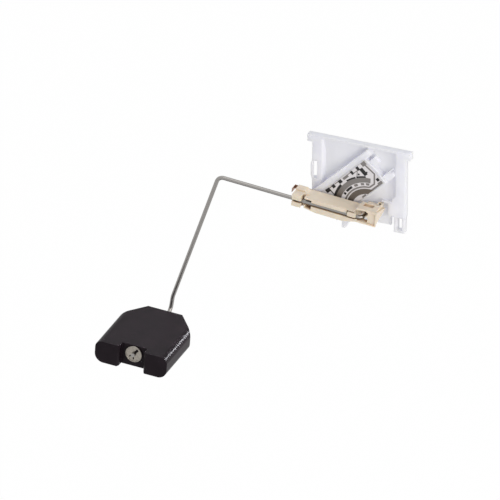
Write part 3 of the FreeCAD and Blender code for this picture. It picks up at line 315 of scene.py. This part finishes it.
def steel_drawn(colour):
    """Stainless wire pulled through a die: grey, with fine uneven draw marks."""
    material, tree, shader, place = new_finish("steel_drawn", Metallic=1.0)
    marks = add_node(tree, "ShaderNodeTexNoise", {"Scale": per_metre(0.6), "Detail": 4},
                     {"Vector": place})
    tint = add_node(tree, "ShaderNodeValToRGB", links={"Fac": marks.outputs["Fac"]})
    tint.color_ramp.elements[0].position = 0.3
    tint.color_ramp.elements[0].color = [c * 0.88 for c in colour[:3]] + [1]
    tint.color_ramp.elements[1].position = 0.7
    tint.color_ramp.elements[1].color = colour
    tree.links.new(tint.outputs["Color"], shader.inputs["Base Color"])
    gloss = add_node(tree, "ShaderNodeMapRange", {"To Min": 0.3, "To Max": 0.5},
                     {"Value": marks.outputs["Fac"]})
    tree.links.new(gloss.outputs["Result"], shader.inputs["Roughness"])
    bump = add_node(tree, "ShaderNodeBump", {"Strength": 0.05, "Distance": 0.01 * MM},
                    {"Height": marks.outputs["Fac"]})
    tree.links.new(bump.outputs["Normal"], shader.inputs["Normal"])
    return material


def cloudy_metal(name, colour):
    """Bare or plated metal with a faint uneven bloom, for small stamped and turned pieces."""
    material, tree, shader, place = new_finish(name, Metallic=1.0)
    cloud = add_node(tree, "ShaderNodeTexNoise", {"Scale": per_metre(1.2), "Detail": 4},
                     {"Vector": place})
    tint = add_node(tree, "ShaderNodeValToRGB", links={"Fac": cloud.outputs["Fac"]})
    tint.color_ramp.elements[0].position = 0.3
    tint.color_ramp.elements[0].color = [c * 0.7 for c in colour[:3]] + [1]
    tint.color_ramp.elements[1].position = 0.65
    tint.color_ramp.elements[1].color = colour
    tree.links.new(tint.outputs["Color"], shader.inputs["Base Color"])
    gloss = add_node(tree, "ShaderNodeMapRange", {"To Min": 0.28, "To Max": 0.48},
                     {"Value": cloud.outputs["Fac"]})
    tree.links.new(gloss.outputs["Result"], shader.inputs["Roughness"])
    return material


def phosphor_bronze_rolled():
    """Rolled spring bronze: warm, with rolling lines a fifth of a millimetre apart."""
    material, tree, shader, place = new_finish(
        "phosphor_bronze_rolled", Metallic=1.0, Roughness=0.32)
    stretch = add_node(tree, "ShaderNodeMapping", {"Scale": (0.05, 1, 1)}, {"Vector": place})
    lines = add_node(tree, "ShaderNodeTexNoise", {"Scale": per_metre(0.2), "Detail": 2},
                     {"Vector": stretch.outputs["Vector"]})
    tint = add_node(tree, "ShaderNodeValToRGB", links={"Fac": lines.outputs["Fac"]})
    tint.color_ramp.elements[0].color = linear("8C6A58")
    tint.color_ramp.elements[1].color = linear("BE9A84")
    tree.links.new(tint.outputs["Color"], shader.inputs["Base Color"])
    return material


def nitrile_foam_moulded(colour):
    """Closed-cell nitrile foam with its moulded skin: near black, satin, fine pores and scuffs."""
    material, tree, shader, place = new_finish("nitrile_foam_moulded", Specular_IOR_Level=0.08)
    cloud = add_node(tree, "ShaderNodeTexNoise", {"Scale": per_metre(9), "Detail": 3},
                     {"Vector": place})
    tint = add_node(tree, "ShaderNodeValToRGB", links={"Fac": cloud.outputs["Fac"]})
    tint.color_ramp.elements[0].position = 0.3
    tint.color_ramp.elements[0].color = [c * 0.75 for c in colour[:3]] + [1]
    tint.color_ramp.elements[1].position = 0.7
    tint.color_ramp.elements[1].color = [c * 1.15 for c in colour[:3]] + [1]
    tree.links.new(tint.outputs["Color"], shader.inputs["Base Color"])
    gloss = add_node(tree, "ShaderNodeMapRange", {"To Min": 0.3, "To Max": 0.4},
                     {"Value": cloud.outputs["Fac"]})
    tree.links.new(gloss.outputs["Result"], shader.inputs["Roughness"])
    # Pores of the skin, half a millimetre apart
    pores = add_node(tree, "ShaderNodeTexVoronoi", {"Scale": per_metre(0.5)}, {"Vector": place})
    pits = add_node(tree, "ShaderNodeMapRange", {"From Min": 0.05, "From Max": 0.35},
                    {"Value": pores.outputs["Distance"]})
    bump = add_node(tree, "ShaderNodeBump", {"Strength": 0.1, "Distance": 0.03 * MM},
                    {"Height": pits.outputs["Result"]})
    tree.links.new(bump.outputs["Normal"], shader.inputs["Normal"])
    return material


class SENSOR_OT_housing(bpy.types.Operator):
    """Finishes the moulded housing"""

    bl_idname = "sensor.housing"
    bl_label = "Housing"

    def execute(self, context):
        sizes, colours = context.scene.sensor_sizes, context.scene.sensor_colours
        housing = dress("housing", natural_acetal_moulded(list(colours.housing)))
        soften(housing, sizes.housing_edge)
        return {"FINISHED"}


class SENSOR_OT_card(bpy.types.Operator):
    """Finishes the resistor card and its print"""

    bl_idname = "sensor.card"
    bl_label = "Card and print"

    def execute(self, context):
        sizes, colours = context.scene.sensor_sizes, context.scene.sensor_colours
        card = dress("resistor_card", alumina_ceramic_fired(list(colours.card)))
        soften(card, sizes.card_edge)
        contact = palladium_silver_printed("palladium_silver_printed", list(colours.contact),
                                           linear("5A4A3C"))
        brown = palladium_silver_printed("palladium_silver_tarnished", linear("675D53"),
                                         linear("3E2A1A"))
        for name in ("outer_contact_band", "ring_trace", "edge_trace", "upper_solder_pad",
                     "side_solder_pad", "link_traces", "trim_bars"):
            dress(name, contact)
        dress("inner_contact_band", brown)
        resistor = ruthenium_oxide_printed(list(colours.resistor))
        for name in ("resistor_patches", "upper_edge_resistor", "middle_edge_resistor",
                     "lower_edge_resistor", "trim_resistors"):
            dress(name, resistor)
        return {"FINISHED"}


class SENSOR_OT_lever(bpy.types.Operator):
    """Finishes the lever"""

    bl_idname = "sensor.lever"
    bl_label = "Lever"

    def execute(self, context):
        sizes, colours = context.scene.sensor_sizes, context.scene.sensor_colours
        lever = dress("wiper_carrier", cream_acetal_moulded(list(colours.lever)))
        soften(lever, sizes.lever_edge)
        return {"FINISHED"}


class SENSOR_OT_wiper(bpy.types.Operator):
    """Finishes the wiper spring and its contact tips"""

    bl_idname = "sensor.wiper"
    bl_label = "Wiper"

    def execute(self, context):
        rivet = cloudy_metal("palladium_rivet_turned", linear("D8D4CC"))
        dress("wiper_spring", phosphor_bronze_rolled())
        dress("wiper_tips", rivet)
        return {"FINISHED"}


class SENSOR_OT_wire(bpy.types.Operator):
    """Finishes the float wire"""

    bl_idname = "sensor.wire"
    bl_label = "Float wire"

    def execute(self, context):
        steel = steel_drawn(list(context.scene.sensor_colours.wire))
        wire = dress("float_wire", steel)
        for face in wire.data.polygons:
            face.use_smooth = True
        return {"FINISHED"}


class SENSOR_OT_float(bpy.types.Operator):
    """Finishes the foam float"""

    bl_idname = "sensor.float"
    bl_label = "Float"

    def execute(self, context):
        sizes, colours = context.scene.sensor_sizes, context.scene.sensor_colours
        block = dress("float", nitrile_foam_moulded(list(colours.float_foam)))
        soften(block, sizes.float_edge, segments=4)
        return {"FINISHED"}


class SENSOR_OT_washer(bpy.types.Operator):
    """Finishes the retaining washer"""

    bl_idname = "sensor.washer"
    bl_label = "Retaining washer"

    def execute(self, context):
        sizes, colours = context.scene.sensor_sizes, context.scene.sensor_colours
        zinc = cloudy_metal("spring_steel_zinc_plated", list(colours.washer))
        washer = dress("retaining_washer", zinc)
        soften(washer, sizes.washer_edge)
        return {"FINISHED"}


def area_lamp(name, place, target, size, power, colour):
    """A square soft box that faces a target."""
    lamp = bpy.data.lights.new(name, "AREA")
    lamp.size = size
    lamp.energy = power
    lamp.color = linear(colour)[:3]
    box = bpy.data.objects.new(name, lamp)
    box.location = place
    box.rotation_euler = (Vector(target) - Vector(place)).to_track_quat("-Z", "Y").to_euler()
    box.visible_camera = False
    bpy.context.scene.collection.objects.link(box)
    return box


def studio_white_floor():
    """Matt white paper that reads white to the camera and keeps the sensor's soft shadow."""
    material = bpy.data.materials.new("studio_white_paper")
    material.use_nodes = True
    tree = material.node_tree
    tree.nodes.clear()
    paper = add_node(tree, "ShaderNodeBsdfDiffuse", {"Color": linear("F6F6F6")})
    glow = add_node(tree, "ShaderNodeEmission", {"Color": linear("FFFFFF"), "Strength": 1.0})
    rays = add_node(tree, "ShaderNodeLightPath")
    seen = add_node(tree, "ShaderNodeMath", links={0: rays.outputs["Is Camera Ray"],
                                                   1: rays.outputs["Is Glossy Ray"]},
                    operation="MAXIMUM")
    share = add_node(tree, "ShaderNodeMath", {1: FLOOR_WHITE}, {0: seen.outputs[0]},
                     operation="MULTIPLY")
    top = add_node(tree, "ShaderNodeMixShader", links={0: share.outputs[0], 1: paper.outputs[0],
                                                       2: glow.outputs[0]})
    # From below, the floor lets the camera see the sensor
    side = add_node(tree, "ShaderNodeNewGeometry")
    clear = add_node(tree, "ShaderNodeBsdfTransparent")
    sheet = add_node(tree, "ShaderNodeMixShader", links={0: side.outputs["Backfacing"],
                                                         1: top.outputs[0], 2: clear.outputs[0]})
    add_node(tree, "ShaderNodeOutputMaterial", links={"Surface": sheet.outputs[0]})
    return material


def add_floor(scene):
    """The sheet of paper that the sensor hangs over."""
    mesh = bpy.data.meshes.new("floor")
    sheet = bmesh.new()
    bmesh.ops.create_grid(sheet, x_segments=1, y_segments=1, size=FLOOR_HALF)
    sheet.to_mesh(mesh)
    sheet.free()
    mesh.materials.append(studio_white_floor())
    floor = bpy.data.objects.new("floor", mesh)
    floor.location = (0, 0, CAD_BOX[0][2] - scene.sensor_sizes.floor_drop)
    scene.collection.objects.link(floor)


def add_room(scene):
    """A pale room that lights the sensor and reads white to the camera, in metal and through plastic."""
    world = bpy.data.worlds.new("studio")
    scene.world = world
    world.use_nodes = True
    tree = world.node_tree
    tree.nodes.clear()
    rays = add_node(tree, "ShaderNodeLightPath")
    room = add_node(tree, "ShaderNodeBackground",
                    {"Color": linear("F4F6FA"), "Strength": ROOM_STRENGTH})
    white = add_node(tree, "ShaderNodeBackground", {"Color": linear("FFFFFF"), "Strength": 1.0})
    seen = rays.outputs["Is Camera Ray"]
    for ray in ("Is Glossy Ray", "Is Transmission Ray"):
        seen = add_node(tree, "ShaderNodeMath", links={0: seen, 1: rays.outputs[ray]},
                        operation="MAXIMUM").outputs[0]
    mix = add_node(tree, "ShaderNodeMixShader", links={0: seen, 1: room.outputs[0],
                                                       2: white.outputs[0]})
    add_node(tree, "ShaderNodeOutputWorld", links={"Surface": mix.outputs[0]})


def add_lamps():
    """A key and a top soft box, and a small beam on the float."""
    middle = (Vector(CAD_BOX[0]) + Vector(CAD_BOX[1])) / 2
    float_low, float_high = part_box("float")
    foam = (Vector(float_low) + Vector(float_high)) / 2
    area_lamp("key_lamp", middle + KEY_PLACE, middle, size=0.5, power=6.6, colour="FFFCF6")
    area_lamp("top_lamp", middle + TOP_PLACE, middle, size=0.7, power=1.6, colour="FFFFFF")
    # A narrow beam from behind draws the light along the float's rounded edge
    rim = area_lamp("rim_lamp", foam + RIM_PLACE, foam, size=0.07, power=0.02, colour="F8F8FF")
    rim.data.spread = RIM_SPREAD


def add_camera(scene):
    """The camera at the photograph's viewing angle."""
    back = Vector((math.sin(CAMERA_AZIMUTH) * math.cos(CAMERA_ELEVATION),
                   -math.cos(CAMERA_AZIMUTH) * math.cos(CAMERA_ELEVATION),
                   math.sin(CAMERA_ELEVATION)))
    right = Vector((math.cos(CAMERA_AZIMUTH), math.sin(CAMERA_AZIMUTH), 0))
    up = back.cross(right)
    aim = Vector((0, CARD_PLANE_Y, 0)) + right * AIM_ACROSS + up * AIM_UP
    distance = VIEW_WIDTH * CAMERA_LENS / CAMERA_SENSOR
    lens = bpy.data.cameras.new("camera")
    lens.lens = CAMERA_LENS
    lens.sensor_width = CAMERA_SENSOR
    lens.dof.use_dof = False
    lens.clip_start = distance * CLIP_NEAR
    lens.clip_end = distance * CLIP_FAR
    camera = bpy.data.objects.new("camera", lens)
    turn = Matrix((right, up, back)).transposed() @ Matrix.Rotation(CAMERA_ROLL, 3, "Z")
    camera.matrix_world = Matrix.Translation(aim + back * distance) @ turn.to_4x4()
    scene.collection.objects.link(camera)
    scene.camera = camera


class SENSOR_OT_stage(bpy.types.Operator):
    """Sets up the floor, the lamps, the world and the camera"""

    bl_idname = "sensor.stage"
    bl_label = "Studio"

    def execute(self, context):
        context.scene.view_settings.view_transform = "Standard"
        add_floor(context.scene)
        add_room(context.scene)
        add_lamps()
        add_camera(context.scene)
        return {"FINISHED"}


OPERATORS = (
    SENSOR_OT_housing,
    SENSOR_OT_card,
    SENSOR_OT_lever,
    SENSOR_OT_wiper,
    SENSOR_OT_wire,
    SENSOR_OT_float,
    SENSOR_OT_washer,
    SENSOR_OT_stage,
)


class SENSOR_PT_panel(bpy.types.Panel):
    """Lists the sensor's pieces in the sidebar"""

    bl_label = "Fuel level sensor"
    bl_idname = "SENSOR_PT_panel"
    bl_space_type = "VIEW_3D"
    bl_region_type = "UI"
    bl_category = "Fuel sensor"

    def draw(self, context):
        for operator in OPERATORS:
            self.layout.operator(operator.bl_idname)
        for group in (context.scene.sensor_sizes, context.scene.sensor_colours):
            for name in group.__annotations__:
                self.layout.prop(group, name)


CLASSES = (SensorSizes, SensorColours, *OPERATORS, SENSOR_PT_panel)


def register():
    for item in CLASSES:
        bpy.utils.register_class(item)
    bpy.types.Scene.sensor_sizes = PointerProperty(type=SensorSizes)
    bpy.types.Scene.sensor_colours = PointerProperty(type=SensorColours)


def unregister():
    del bpy.types.Scene.sensor_colours
    del bpy.types.Scene.sensor_sizes
    for item in reversed(CLASSES):
        bpy.utils.unregister_class(item)


def main():
    register()
    for operator in OPERATORS:
        group, name = operator.bl_idname.split(".")
        getattr(getattr(bpy.ops, group), name)()


if __name__ == "__main__":
    main()
